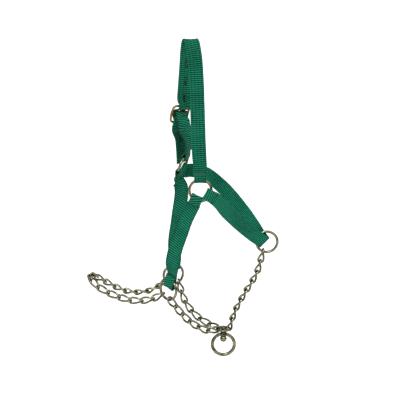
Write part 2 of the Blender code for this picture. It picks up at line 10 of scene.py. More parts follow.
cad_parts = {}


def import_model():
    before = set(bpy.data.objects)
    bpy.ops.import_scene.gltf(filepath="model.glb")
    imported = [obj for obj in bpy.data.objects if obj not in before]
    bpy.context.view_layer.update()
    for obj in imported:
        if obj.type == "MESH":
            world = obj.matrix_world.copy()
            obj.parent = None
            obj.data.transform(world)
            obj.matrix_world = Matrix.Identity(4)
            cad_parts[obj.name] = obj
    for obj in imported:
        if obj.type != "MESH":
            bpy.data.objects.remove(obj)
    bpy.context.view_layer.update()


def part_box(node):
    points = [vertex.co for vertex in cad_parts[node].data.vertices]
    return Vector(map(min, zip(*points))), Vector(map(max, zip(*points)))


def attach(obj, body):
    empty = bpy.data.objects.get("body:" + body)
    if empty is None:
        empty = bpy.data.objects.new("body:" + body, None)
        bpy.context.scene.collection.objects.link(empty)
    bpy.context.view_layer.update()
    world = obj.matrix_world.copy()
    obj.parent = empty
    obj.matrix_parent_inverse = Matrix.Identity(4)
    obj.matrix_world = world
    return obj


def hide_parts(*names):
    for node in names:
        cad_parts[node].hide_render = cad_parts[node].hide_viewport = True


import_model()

MM = 0.001


def centre_of(node):
    """The middle of a node's box at rest, in millimetres."""
    low, high = (Vector(corner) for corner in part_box(node))
    return (low + high) / 2 / MM


NEAR_CHEEK, FAR_CHEEK = centre_of("near_cheek_ring"), centre_of("far_cheek_ring")
NEAR_JAW, FAR_JAW = centre_of("near_jaw_ring"), centre_of("far_jaw_ring")
THROAT, SWIVEL = centre_of("throat_ring"), centre_of("swivel_eye")

WEBBING_WIDTH, WEBBING_THICKNESS, STITCH_GAP = 19.0, 1.6, 0.5
HALF_STACK = (WEBBING_THICKNESS + STITCH_GAP) / 2
LOOP_WIDTH, LOOP_TAIL, LOOP_SEWN, LOOP_SPREAD, LOOP_PLAY, FOLD_PAST_WIRE = 16.0, 21.2, 6.2, 0.6, 0.5, 1.4
RING_RADIUS, RING_WIRE = 14.3, 3.2
LEAD_RING_RADIUS = 15.2
EYE_RADIUS, EYE_WIRE = 8.9, 3.0
LINK_WIRE, LINK_PITCH, LINK_HALF_WIDTH, LINK_REACH = 2.4, 15.6, 3.8, 1.75
LINK_ROUND, RING_ROUND, LEAD_ROUND = 2.85, 3.5, 4.6
LINK_TWIST = math.radians(84)
HOOK_GAP = 0.6
STITCH_RADIUS, STITCH_SPACING, STITCHES_ACROSS = 0.3, 2.64, 6
SLIT_LENGTH, SLIT_WIDTH, SLIT_SPACING = 12.0, 3.2, 25.0
SLITS_ABOVE, SLITS_BELOW, SHUT_SLIT_HALF_WIDTH = 3, 2, 0.03
FRAME_HALF_LENGTH, FRAME_HALF_WIDTH, FRAME_CORNER, FRAME_BULGE, FRAME_WIRE = 12.0, 13.0, 4.2, 2.2, 3.0
BAR_RADIUS, FRAME_SHIFT = 1.3, 1.5
TONGUE_WIDTH, TONGUE_THICKNESS, TONGUE_EYE_RADIUS = 2.2, 1.2, 2.4
LEAD_DROP = 22.5
LEAD_TOP = LEAD_RING_RADIUS - LEAD_DROP
LEAD_LOW = LEAD_TOP - 2.4
BAR = Vector((-13.5, 31.0, -101.0))
PIN_RADIUS, PIN_HOLE, PIN_HEAD_RADIUS = 2.0, 2.3, 4.6
X_AXIS, Z_AXIS = Vector((1, 0, 0)), Vector((0, 0, 1))

STEP = 0.6
ROUTE_STEP = 0.8
FOLD_REACH = 24


# ------------------------ materials

class Graph:
    """A short way to write a material's nodes: every method returns an output socket."""

    def __init__(self, name):
        self.material = bpy.data.materials.new(name)
        self.material.use_nodes = True
        self.tree = self.material.node_tree
        self.shader = self.tree.nodes["Principled BSDF"]

    def put(self, node, socket, value):
        if isinstance(value, bpy.types.NodeSocket):
            self.tree.links.new(value, node.inputs[socket])
        elif value is not None:
            node.inputs[socket].default_value = value

    def math(self, operation, a, b=None):
        node = self.tree.nodes.new("ShaderNodeMath")
        node.operation = operation
        self.put(node, 0, a)
        self.put(node, 1, b)
        return node.outputs[0]

    def uv(self):
        """The flat strap's coordinates in millimetres: (across, along)."""
        node = self.tree.nodes.new("ShaderNodeUVMap")
        node.uv_map = "UVMap"
        split = self.tree.nodes.new("ShaderNodeSeparateXYZ")
        self.tree.links.new(node.outputs["UV"], split.inputs[0])
        return [self.math("MULTIPLY", split.outputs[axis], 1 / MM) for axis in (0, 1)]

    def noise(self, scale, detail=3.0, roughness=0.5):
        node = self.tree.nodes.new("ShaderNodeTexNoise")
        node.inputs["Scale"].default_value = scale
        node.inputs["Detail"].default_value = detail
        node.inputs["Roughness"].default_value = roughness
        coordinates = self.tree.nodes.new("ShaderNodeTexCoord")
        self.tree.links.new(coordinates.outputs["Object"], node.inputs["Vector"])
        return node.outputs[0]

    def spread(self, value, low, high, to_low=0.0, to_high=1.0):
        node = self.tree.nodes.new("ShaderNodeMapRange")
        node.clamp = True
        self.put(node, 0, value)
        for slot, number in enumerate((low, high, to_low, to_high), 1):
            node.inputs[slot].default_value = number
        return node.outputs[0]

    def mix(self, factor, a, b, blend="MIX"):
        node = self.tree.nodes.new("ShaderNodeMix")
        node.data_type = "RGBA"
        node.blend_type = blend
        self.put(node, 0, factor)
        for slot, colour in ((6, a), (7, b)):
            if isinstance(colour, tuple):
                colour = (*colour, 1.0)
            self.put(node, slot, colour)
        return node.outputs[2]

    def attribute(self, name):
        node = self.tree.nodes.new("ShaderNodeAttribute")
        node.attribute_name = name
        return node.outputs["Fac"]

    def bump(self, height, strength, distance):
        node = self.tree.nodes.new("ShaderNodeBump")
        node.inputs["Strength"].default_value = strength
        node.inputs["Distance"].default_value = distance
        self.put(node, "Height", height)
        return node.outputs[0]

    def wave(self, value, pitch):
        """A rounded rib across every pitch: 0 in the groove, 1 on the crest."""
        return self.math("ABSOLUTE", self.math("SINE", self.math("MULTIPLY", value, math.pi / pitch)))

    def finish(self, **sockets):
        for name, value in sockets.items():
            self.put(self.shader, name.replace("_", " "), value)
        return self.material


# GREEN_GROOVE_SHADE is painted shade for the grooves of the weave.
GREEN_LIGHT, GREEN_MID, GREEN_GROOVE_SHADE = (0.0075, 0.198, 0.108), (0.005, 0.132, 0.074), (0.0006, 0.008, 0.006)
FUZZ_GREEN, WORN_GREEN, PAINTED_SHADE_GREEN = (0.02, 0.2, 0.115), (0.03, 0.2, 0.12), (0.0008, 0.008, 0.005)
FILAMENT_LEAN, FILAMENT_PITCH = 0.6, 0.42


class Weave:
    """Woven nylon: ribs of one pitch, raised to one side by the skew, crossed by columns of yarn."""

    def __init__(self, name, pitch, skew, columns, shade, rib_depth, yarn_depth):
        self.pitch, self.skew, self.columns = pitch, skew, columns
        self.rib_depth, self.yarn_depth = rib_depth, yarn_depth
        self.material = self.nylon(name, shade)

    def relief(self, across, along):
        """How far the surface stands out at this place on the flat strap."""
        rib = abs(math.sin(math.pi * (along + self.skew * across) / self.pitch)) ** 0.7
        yarn = abs(math.cos(math.pi * across / self.columns)) ** 0.5
        return self.rib_depth * (rib - 0.7) + self.yarn_depth * (yarn - 0.8)

    def nylon(self, name, shade):
        g = Graph(name)
        greens = (GREEN_LIGHT, GREEN_MID, GREEN_GROOVE_SHADE)
        light, middle, dark = (tuple(v * shade for v in green) for green in greens)
        across, along = g.uv()
        leaned = g.math("ADD", along, g.math("MULTIPLY", across, self.skew))
        wobble = g.math("MULTIPLY", g.math("SUBTRACT", g.noise(420.0, 2.0), 0.5), 0.5)
        rib = g.wave(g.math("ADD", leaned, wobble), self.pitch)
        yarn = g.wave(g.math("ADD", g.math("ADD", across, wobble), self.columns / 2), self.columns)
        slanted = g.math("SUBTRACT", across, g.math("MULTIPLY", along, FILAMENT_LEAN))
        filament = g.wave(slanted, FILAMENT_PITCH)
        fuzz = g.noise(2600.0, 3.0, 0.65)
        broad = g.noise(38.0, 3.0)
        weave = g.math("MULTIPLY", g.spread(rib, 0.3, 0.95), g.spread(yarn, 0.0, 0.45, 0.25, 1.0))
        body = g.mix(g.spread(broad, 0.32, 0.68), middle, light)
        # Painted shade: where the weave is low, in the grooves between ribs and between yarn columns, the
        # colour is mixed towards a near-black green.
        colour = g.mix(g.spread(weave, 0.0, 0.8, 1.0, 0.0), body, dark)
        colour = g.mix(g.spread(fuzz, 0.55, 0.8, 0.0, 0.25), colour, FUZZ_GREEN)
        worn = g.math("MULTIPLY", g.attribute("wear"), g.spread(g.noise(900.0, 4.0, 0.7), 0.45, 0.65))
        colour = g.mix(g.math("MULTIPLY", worn, 0.4), colour, WORN_GREEN)
        # Painted shade: at the strap's cut ends and round its slits the colour goes to a near-black green.
        colour = g.mix(g.attribute("painted_shade"), colour, PAINTED_SHADE_GREEN)
        height = g.math("ADD", weave, g.math("MULTIPLY", filament, 0.22))
        height = g.math("ADD", height, g.math("MULTIPLY", fuzz, 0.3))
        return g.finish(
            Base_Color=colour, Roughness=g.spread(fuzz, 0.2, 0.8, 0.62, 0.86),
            Normal=g.bump(height, 1.0, 0.0006), Sheen_Weight=0.02, Sheen_Roughness=0.4,
            Specular_IOR_Level=0.07,
        )


def thread_material():
    g = Graph("sewing_thread")
    twist = g.noise(3200.0, 2.0)
    colour = g.mix(g.spread(twist, 0.35, 0.65), (0.002, 0.04, 0.024), (0.008, 0.13, 0.075))
    return g.finish(Base_Color=colour, Roughness=g.spread(twist, 0.3, 0.7, 0.45, 0.7),
                    Normal=g.bump(twist, 0.7, 0.0002), Sheen_Weight=0.15)


def metal_material(name, light, middle, tarnish_and_shade, shine, rim):
    """Plated wire: mottled plating, drawing lines, fine scratches, tarnished pits, and painted shade in the
    corners in the tarnished colour.
    """
    g = Graph(name)
    mottle = g.noise(160.0, 4.0, 0.6)
    fine = g.noise(1500.0, 3.0, 0.6)
    pits = g.noise(700.0, 5.0, 0.7)
    colour = g.mix(g.spread(mottle, 0.35, 0.68), middle, light)
    colour = g.mix(g.spread(pits, 0.6, 0.74, 0.0, 0.65), colour, tarnish_and_shade)
    # Painted shade: where the painted-shade layer is set, the colour goes to the dark tarnish colour and the
    # surface is rougher.
    colour = g.mix(g.attribute("painted_shade"), colour, tarnish_and_shade)
    rough = g.math("ADD", g.spread(fine, 0.3, 0.7, shine, shine + 0.14),
                   g.math("MULTIPLY", g.attribute("painted_shade"), 0.25))
    return g.finish(Base_Color=colour, Metallic=1.0, Roughness=rough, Specular_Tint=(*rim, 1.0),
                    Normal=g.bump(g.math("ADD", fine, pits), 0.22, 0.00018))


CROSS_RIBS = Weave("webbing_cross_ribs", 2.7, 0.0, 4.4, shade=1.1, rib_depth=0.26, yarn_depth=0.1)
TWILL_RIBS = Weave("webbing_twill", 3.1, -0.42, 19.0, shade=1.12, rib_depth=0.24, yarn_depth=0.05)
# The cheek straps' twill again, painted lighter: painted light for the buckle strap, not a different weave
# or dye.
TWILL_RIBS_PAINTED_LIGHTER = Weave("webbing_twill_painted_lighter", 3.1, -0.42, 19.0, shade=1.2, rib_depth=0.24, yarn_depth=0.05)
FINE_RIBS = Weave("webbing_fine_ribs", 2.3, 0.12, 1.9, shade=1.38, rib_depth=0.14, yarn_depth=0.08)
THREAD = thread_material()
NICKEL = metal_material("nickel", light=(0.31, 0.297, 0.193), middle=(0.09, 0.086, 0.05),
                        tarnish_and_shade=(0.005, 0.0045, 0.0025), shine=0.14, rim=(0.02, 0.019, 0.013))
BRASS = metal_material("brass", light=(0.4, 0.23, 0.075), middle=(0.16, 0.085, 0.026),
                       tarnish_and_shade=(0.014, 0.008, 0.003), shine=0.22, rim=(0.05, 0.03, 0.012))


# ------------------------ meshes

def add_mesh(name, vertices, faces, material, matrix=None, uv=None, layers=None):
    """A mesh object in metres from points in millimetres. Its layers are wear and painted shade, 0 to 1."""
    data = bpy.data.meshes.new(name)
    data.from_pydata([(x * MM, y * MM, z * MM) for x, y, z in vertices], [], faces)
    data.materials.append(material)
    data.shade_smooth()
    if uv:
        layer = data.uv_layers.new(name="UVMap")
        for loop in data.loops:
            layer.data[loop.index].uv = (uv[loop.vertex_index][0] * MM, uv[loop.vertex_index][1] * MM)
    for label in ("wear", "painted_shade"):
        values = (layers or {}).get(label)
        made = data.attributes.new(label, "FLOAT", "POINT")
        if values:
            made.data.foreach_set("value", values)
    data.update()
    return place(bpy.data.objects.new(name, data), matrix)


def place(thing, matrix=None):
    """Links the object to the scene and puts it in its place."""
    bpy.context.scene.collection.objects.link(thing)
    if matrix is not None:
        thing.matrix_world = matrix
    return thing


def stands_for(thing, body, slot, *nodes):
    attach(thing, body)
    if nodes:
        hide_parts(*nodes)
    return thing


def frame_matrix(origin, x_axis, y_axis, z_axis):
    turn = Matrix((x_axis, y_axis, z_axis)).transposed().to_4x4()
    return Matrix.Translation(origin * MM) @ turn


def square_up(along, across):
    along = along.normalized()
    across = (across - across.dot(along) * along).normalized()
    return along, across, along.cross(across)


def tube(points, radii, sides, closed):
    """Rings of vertices along a path, carried without twist: (vertices, faces)."""
    count = len(points)
    heading = []
    for i in range(count):
        before = points[i - 1] if closed or i else points[i]
        after = points[(i + 1) % count] if closed or i < count - 1 else points[i]
        heading.append((after - before).normalized())
    side = heading[0].orthogonal().normalized()
    sides_at = []
    for direction in heading:
        side = (side - side.dot(direction) * direction).normalized()
        sides_at.append(side)
    twist = 0.0
    if closed:
        last = (sides_at[-1] - sides_at[-1].dot(heading[0]) * heading[0]).normalized()
        twist = math.atan2(last.cross(sides_at[0]).dot(heading[0]), last.dot(sides_at[0]))
    vertices, faces = [], []
    for i, (point, direction, side) in enumerate(zip(points, heading, sides_at)):
        turn = twist * i / count
        other = direction.cross(side)
        for k in range(sides):
            angle = 2 * math.pi * k / sides + turn
            vertices.append(point + radii[i] * (math.cos(angle) * side + math.sin(angle) * other))
    for i in range(count if closed else count - 1):
        j = (i + 1) % count
        for k in range(sides):
            m = (k + 1) % sides
            faces.append((i * sides + k, i * sides + m, j * sides + m, j * sides + k))
    if not closed:
        faces.append(tuple(reversed(range(sides))))
        faces.append(tuple(range((count - 1) * sides, count * sides)))
    return vertices, faces


def lathe(profile, steps=64):
    """Turned about Z from (radius, height) points that run down the outer side."""
    vertices, faces = [], []
    for radius, height in profile:
        for k in range(steps):
            angle = 2 * math.pi * k / steps
            vertices.append(Vector((radius * math.cos(angle), radius * math.sin(angle), height)))
    for i in range(len(profile) - 1):
        for k in range(steps):
            m = (k + 1) % steps
            faces.append((i * steps + k, (i + 1) * steps + k, (i + 1) * steps + m, i * steps + m))
    if profile[0][0] > 0.01 and profile[0] == profile[-1]:
        return vertices, faces
    faces.append(tuple(range(steps)))
    faces.append(tuple(reversed(range((len(profile) - 1) * steps, len(profile) * steps))))
    return vertices, faces


def together(*parts):
    """Several (vertices, faces) as one."""
    vertices, faces = [], []
    for points, polygons in parts:
        start = len(vertices)
        vertices += points
        faces += [tuple(start + i for i in polygon) for polygon in polygons]
    return vertices, faces


def circle(radius, count):
    turns = (2 * math.pi * step / count for step in range(count))
    return [Vector((radius * math.cos(a), radius * math.sin(a), 0)) for a in turns]


def welded(radius, wire, count, weld_degrees):
    """A ring of wire with a slightly swollen butt weld, and a faint dip on each side of it."""
    radii = []
    for step in range(count):
        away = abs((360 * step / count - weld_degrees + 180) % 360 - 180) * math.pi / 180 * radius
        swell = 0.16 * math.exp(-(away / 0.8) ** 2)
        dip = 0.05 * math.exp(-((away - 1.6) / 0.5) ** 2)
        radii.append(wire / 2 + swell - dip)
    return tube(circle(radius, count), radii, 24, True)


# ------------------------ rings

class Ring:
    """A welded ring: its centre, the axes it lies along, and the way its outer side faces."""

    def __init__(self, name, centre, right, up, outward):
        self.name, self.centre = name, centre
        self.up, self.right, normal = square_up(up, right)
        self.out = normal if normal.dot(Vector(outward)) > 0 else -normal

    def direction(self, degrees):
        angle = math.radians(degrees)
        return math.cos(angle) * self.right + math.sin(angle) * self.up

    def wire_at(self, degrees):
        return self.centre + RING_RADIUS * self.direction(degrees)

    def build(self, weld_degrees):
        points, faces = welded(RING_RADIUS, RING_ROUND, 144, weld_degrees)
        matrix = frame_matrix(self.centre, self.right, self.up, self.right.cross(self.up))
        inner = RING_RADIUS - RING_WIRE / 2
        # Painted shade on the inner side of the wire.
        painted_shade = [max(0.0, 1.0 - (p.xy.length - inner) / 1.2) * 0.35 for p in points]
        made = add_mesh(self.name + "_welded", points, faces, NICKEL, matrix, layers={"painted_shade": painted_shade})
        stands_for(made, self.name, "nickel", self.name)


FAR_RIGHT, FAR_UP = Vector((0.225, 0.945, -0.236)), Vector((0.41, 0.22, 0.88))
NEAR_CHEEK_RING = Ring("near_cheek_ring", NEAR_CHEEK, X_AXIS, Vector((0, 0.12, 1)), (0, -1, 0))
FAR_CHEEK_RING = Ring("far_cheek_ring", FAR_CHEEK, FAR_RIGHT, FAR_UP, (-0.89, 0.30, 0.34))
NEAR_JAW_RING = Ring("near_jaw_ring", NEAR_JAW, Vector((0.75, -0.66, 0)), Vector((0.05, 0, 1)), (0, -1, 0))
FAR_JAW_RING = Ring("far_jaw_ring", FAR_JAW, Vector((-0.93, -0.37, 0)), Vector((0.05, 0, 1)), (0, 1, 0))
THROAT_RING = Ring("throat_ring", THROAT, X_AXIS, Z_AXIS, (0, -1, 0))
for ring, weld in ((NEAR_CHEEK_RING, 38), (FAR_CHEEK_RING, 60), (NEAR_JAW_RING, 150), (FAR_JAW_RING, 20),
                   (THROAT_RING, 62)):
    ring.build(weld)


# ------------------------ strap routes

class Station:
    """One place along a strap: the middle, the way across, and the width there."""

    def __init__(self, middle, across, width=WEBBING_WIDTH):
        self.middle, self.across, self.width = middle, across, width


class Fold:
    """A sewn loop on a ring: its way round the wire, and how its fold follows the ring's curve."""

    def __init__(self, ring, degrees, tail=LOOP_TAIL, slack=0.0, sewn=LOOP_SEWN, curl=0.3, lift=0.0):
        self.centre, self.out = ring.centre, ring.out
        self.away = ring.direction(degrees)
        self.across = self.away.cross(ring.out)
        self.tail, self.slack, self.curl, self.lift = tail, slack, curl, lift
        self.fold_at = self.reach(LOOP_WIDTH / 2)
        self.spread_at, self.sewn_at = RING_RADIUS + LOOP_SPREAD, RING_RADIUS + sewn

    def reach(self, side):
        """How far out the fold would lie here if it followed the inside of the wire."""
        inside = math.sqrt(max(1.0, (RING_RADIUS - RING_WIRE / 2) ** 2 - side * side))
        return inside + FOLD_PAST_WIRE - self.slack

    def hug(self, point):
        """How far this point of the fold moves towards the ring's wire."""
        offset = point - self.centre
        far, side = offset.dot(self.away), offset.dot(self.across)
        weight = max(0.0, min(1.0, (self.spread_at - far) / (self.spread_at - self.fold_at)))
        return weight * (self.lift + self.curl * max(0.0, self.reach(side) - self.fold_at)) * self.away

    def stations(self):
        """From the strap's end inwards, round the wire and back out to the sewn part."""
        bend = RING_WIRE / 2 + LOOP_PLAY + WEBBING_THICKNESS / 2
        between = (self.spread_at + self.sewn_at) / 2, (bend + HALF_STACK) / 2 + 0.15
        profile = [(self.tail, HALF_STACK), (self.sewn_at, HALF_STACK), between, (self.spread_at, bend)]
        for degrees in range(90, 271, 30):
            angle = math.radians(degrees)
            profile.append((self.fold_at + bend * math.cos(angle), bend * math.sin(angle)))
        profile += [(self.spread_at, -bend), (between[0], -between[1]), (self.sewn_at, -HALF_STACK)]
        made = []
        for s, n in profile:
            width = LOOP_WIDTH if s < self.sewn_at else (LOOP_WIDTH + WEBBING_WIDTH) / 2
            made.append(Station(self.centre + s * self.away + n * self.out, self.across, width))
        return made


def tangents(points):
    """Unit slopes through the points, nearer to the slope of the shorter neighbouring span."""
    found = []
    for i, point in enumerate(points):
        if i in (0, len(points) - 1):
            other = points[1] if i == 0 else points[-2]
            found.append((other - point if i == 0 else point - other).normalized())
            continue
        before, after = point - points[i - 1], points[i + 1] - point
        a, b = before.length, after.length
        found.append((after / b * a + before / a * b).normalized())
    return found


def hermite(a, b, slope_a, slope_b, t):
    chord = (b - a).length
    return (
        (2 * t**3 - 3 * t**2 + 1) * a + (t**3 - 2 * t**2 + t) * chord * slope_a
        + (3 * t**2 - 2 * t**3) * b + (t**3 - t**2) * chord * slope_b
    )


def smooth_points(points, spacing):
    slopes = tangents(points)
    made = [points[0]]
    for a, b, slope_a, slope_b in zip(points, points[1:], slopes, slopes[1:]):
        steps = max(1, round((b - a).length / spacing))
        made += [hermite(a, b, slope_a, slope_b, step / steps) for step in range(1, steps + 1)]
    return made


def smooth_stations(keys, spacing=7.0):
    slopes = tangents([key.middle for key in keys])
    made = [keys[0]]
    for a, b, slope_a, slope_b in zip(keys, keys[1:], slopes, slopes[1:]):
        steps = max(1, round((b.middle - a.middle).length / spacing))
        for step in range(1, steps + 1):
            t = step / steps
            middle = hermite(a.middle, b.middle, slope_a, slope_b, t)
            blend = t * t * (3 - 2 * t)
            across = a.across.lerp(b.across, blend)
            made.append(Station(middle, across, a.width + (b.width - a.width) * blend))
    for station, slope in zip(made, tangents([station.middle for station in made])):
        station.across = (station.across - station.across.dot(slope) * slope).normalized()
    return made


def offset_stations(stations, distance):
    """The route again, this far to one face's side."""
    slopes = tangents([station.middle for station in stations])
    return [
        Station(station.middle + distance * station.across.cross(slope), station.across, station.width)
        for station, slope in zip(stations, slopes)
    ]


def facing(stations, direction):
    """The stations with their way across turned towards this direction."""
    if stations[0].across.dot(direction) > 0:
        return stations
    return [Station(s.middle, -s.across, s.width) for s in stations]


def even(stations, step):
    """The route again, with a station at every step of its length."""
    made, carry = [stations[0]], step
    for a, b in zip(stations, stations[1:]):
        span = (b.middle - a.middle).length
        while carry <= span:
            t = carry / span
            width = a.width + (b.width - a.width) * t
            made.append(Station(a.middle.lerp(b.middle, t), a.across.lerp(b.across, t).normalized(), width))
            carry += step
        carry -= span
    return made


def length_to(stations, point):
    nearest = min(range(len(stations)), key=lambda i: (stations[i].middle - point).length)
    return nearest * STEP


# ------------------------ webbing

def column_shares():
    """Places across the strap, closer at the selvedges and true to the slits' sides."""
    half = [0.0, SLIT_WIDTH / WEBBING_WIDTH / 2, SLIT_WIDTH / WEBBING_WIDTH]
    while half[-1] < 0.86:
        half.append(half[-1] + 0.062)
    half += [0.925, 0.955, 0.978, 0.992, 1.0]
    return [-x for x in reversed(half[1:])] + half


SHARES = column_shares()


def cells_cut(slits, slit_half):
    """The grid's cells, (row, column), that the slits take out."""
    narrow = SLIT_WIDTH / WEBBING_WIDTH
    middle = [j for j in range(len(SHARES) - 1) if abs(SHARES[j] + SHARES[j + 1]) / 2 < narrow]
    cut = set()
    for centre in slits:
        low, high = round((centre - slit_half) / STEP), round((centre + slit_half) / STEP)
        cut |= {(i, j) for i in range(low, high) for j in middle}
    return cut


def skin(top, bottom, cut):
    """Both faces, the selvedges, the two ends and the walls of the slits."""
    last, edge = len(top) - 1, len(SHARES) - 1
    faces = []
    for i in range(last):
        for j in range(edge):
            if (i, j) in cut:
                continue
            faces.append((top[i][j], top[i + 1][j], top[i + 1][j + 1], top[i][j + 1]))
            faces.append((bottom[i][j], bottom[i][j + 1], bottom[i + 1][j + 1], bottom[i + 1][j]))
            if (i, j + 1) in cut:
                faces.append((top[i][j + 1], top[i + 1][j + 1], bottom[i + 1][j + 1], bottom[i][j + 1]))
            if (i, j - 1) in cut:
                faces.append((top[i + 1][j], top[i][j], bottom[i][j], bottom[i + 1][j]))
            if (i + 1, j) in cut:
                faces.append((top[i + 1][j + 1], top[i + 1][j], bottom[i + 1][j], bottom[i + 1][j + 1]))
            if (i - 1, j) in cut:
                faces.append((top[i][j], top[i][j + 1], bottom[i][j + 1], bottom[i][j]))
        faces.append((top[i + 1][0], top[i][0], bottom[i][0], bottom[i + 1][0]))
        faces.append((top[i][-1], top[i + 1][-1], bottom[i + 1][-1], bottom[i][-1]))
    for j in range(edge):
        faces.append((top[0][j], top[0][j + 1], bottom[0][j + 1], bottom[0][j]))
        faces.append((top[last][j + 1], top[last][j], bottom[last][j], bottom[last][j + 1]))
    return faces


def closing(share, along, slits, slit_half):
    """What a point's distance from the middle is multiplied by, so that these slits look nearly shut."""
    drawn = 1.0
    for centre in slits:
        away = (along - centre) / (slit_half + 0.01)
        if abs(away) < 1 and abs(share) < 0.2:
            shut = SHUT_SLIT_HALF_WIDTH * math.sqrt(1 - away * away) / (SLIT_WIDTH / 2)
            drawn *= shut if abs(share) > 0.1 else shut * 0.9
    return drawn


def webbing(name, stations, weave, folds, slits=(), slit_half=SLIT_LENGTH / 2, in_use=()):
    """A woven strap with two faces, rounded selvedges, sealed ends and slits, open where in use."""
    rows = even(stations, STEP)
    last = len(rows) - 1
    shut = [centre for centre in slits if centre not in in_use]
    top, bottom, vertices, uv, wear, painted_shade = [], [], [], [], [], []
    for i, (row, slope) in enumerate(zip(rows, tangents([row.middle for row in rows]))):
        normal = row.across.cross(slope).normalized()
        along = i * STEP
        nearby = [fold for fold in folds if (row.middle - fold.centre).length < FOLD_REACH]
        waver = 0.28 * noise.noise(Vector((along * 0.045, 3.1, len(name))))
        for layer, sign in ((top, 1), (bottom, -1)):
            line = []
            for share in SHARES:
                across = share * row.width / 2
                edge = max(0.0, (abs(share) - 0.88) / 0.12)
                half = WEBBING_THICKNESS / 2 * math.sqrt(max(0.06, 1 - 0.94 * edge ** 2.4))
                half += weave.relief(across, along) * (1 - edge)
                half *= 0.82 if i in (0, last) else 1
                across *= closing(share, along, shut, slit_half)
                ripple = 0.12 * math.sin(along * 2 * math.pi / 2.7) * edge * (1 if share > 0 else -1)
                point = row.middle + row.across * (across + waver + ripple) + sign * half * normal
                for fold in nearby:
                    point = point + fold.hug(point)
                line.append(len(vertices))
                vertices.append(point)
                uv.append((across, along))
                wear.append(edge)
                # Painted shade: the last two rows at each cut end are darkened.
                painted_shade.append(0.85 if i < 2 or i > last - 2 else 0.0)
            layer.append(line)
    cut = cells_cut(slits, slit_half)
    # Painted shade: the slits and the corners round them are darkened so they read as dark lines.
    for i, j in {corner for i, j in cut for corner in ((i, j), (i + 1, j), (i, j + 1), (i + 1, j + 1))}:
        painted_shade[top[i][j]] = painted_shade[bottom[i][j]] = 1.0
    layers = {"wear": wear, "painted_shade": painted_shade}
    made = add_mesh(name + "_woven", vertices, skin(top, bottom, cut), weave.material, uv=uv, layers=layers)
    stands_for(made, "straps", "webbing", name)


def stitch(fold, far, lean, side, sign):
    """One raised stitch, bowed over the face of the strap."""
    face = HALF_STACK + WEBBING_THICKNESS / 2
    points, radii = [], []
    for step in range(7):
        t = step / 6 - 0.5
        lift = face + 0.16 - 1.5 * t * t
        spot = fold.centre + (far + lean * t * 2) * fold.away
        points.append(spot + (side + 2.2 * t) * fold.across + sign * lift * fold.out)
        radii.append(STITCH_RADIUS * math.sqrt(max(0.1, 1 - 3.4 * t * t)))
    return tube(points, radii, 8, False)


def sewing(name, folds, rows_of_stitches=5):
    """Bar tacks through each sewn loop, on both faces, leaning one way and then the other."""
    parts = []
    for fold in folds:
        spacing = min(1.35, (fold.tail - fold.sewn_at - 0.8) / rows_of_stitches)
        for row in range(rows_of_stitches):
            far = fold.sewn_at + 0.3 + spacing * (row + 0.5)
            way = 1 if row % 2 else -1
            for number in range(STITCHES_ACROSS):
                side = STITCH_SPACING * (number - STITCHES_ACROSS / 2 + 0.5) + way * STITCH_SPACING / 4
                parts += [stitch(fold, far, 0.35 * way, side, sign) for sign in (1, -1)]
    made = add_mesh(name, *together(*parts), THREAD)
    stands_for(made, "straps", "webbing")


BUCKLE_OUT, BUCKLE_UP = Vector((-0.50, 0.80, 0.33)), Vector((0.24, -0.25, 0.94))
BUCKLE_UP, BUCKLE_OUT, BUCKLE_RIGHT = square_up(BUCKLE_UP, BUCKLE_OUT)
WIDTH_AXIS = -BUCKLE_RIGHT
CHAPE_DEGREES, CHAPE_END = 115, (-5.2, -3.6)
NEAR_THROAT_DEGREES, NEAR_STRAP_DEGREES = -30, -115
FAR_THROAT_DEGREES, FAR_STRAP_DEGREES = -20, -102
TAIL_LIFT = 9.0


def on_buckle(up, out, right=0.0):
    return BAR + up * BUCKLE_UP + out * BUCKLE_OUT + right * BUCKLE_RIGHT


def chape_core():
    """The middle of the doubled strap, from the far cheek ring up to the buckle's bar."""
    away = FAR_CHEEK_RING.direction(CHAPE_DEGREES)
    across = -away.cross(FAR_CHEEK_RING.out)
    return smooth_stations([
        Station(FAR_CHEEK + (RING_RADIUS + LOOP_SEWN) * away, across, 18.0),
        Station(FAR_CHEEK + (RING_RADIUS + 9.5) * away, across.lerp(WIDTH_AXIS, 0.2)),
        Station(Vector((-5.2, 36.0, -131.0)), across.lerp(WIDTH_AXIS, 0.6)),
        Station(on_buckle(-15.0, -8.4) + 3.4 * X_AXIS, WIDTH_AXIS),
        Station(on_buckle(-9.0, -7.9) + 2.0 * X_AXIS, WIDTH_AXIS),
        Station(on_buckle(*CHAPE_END), WIDTH_AXIS),
    ])


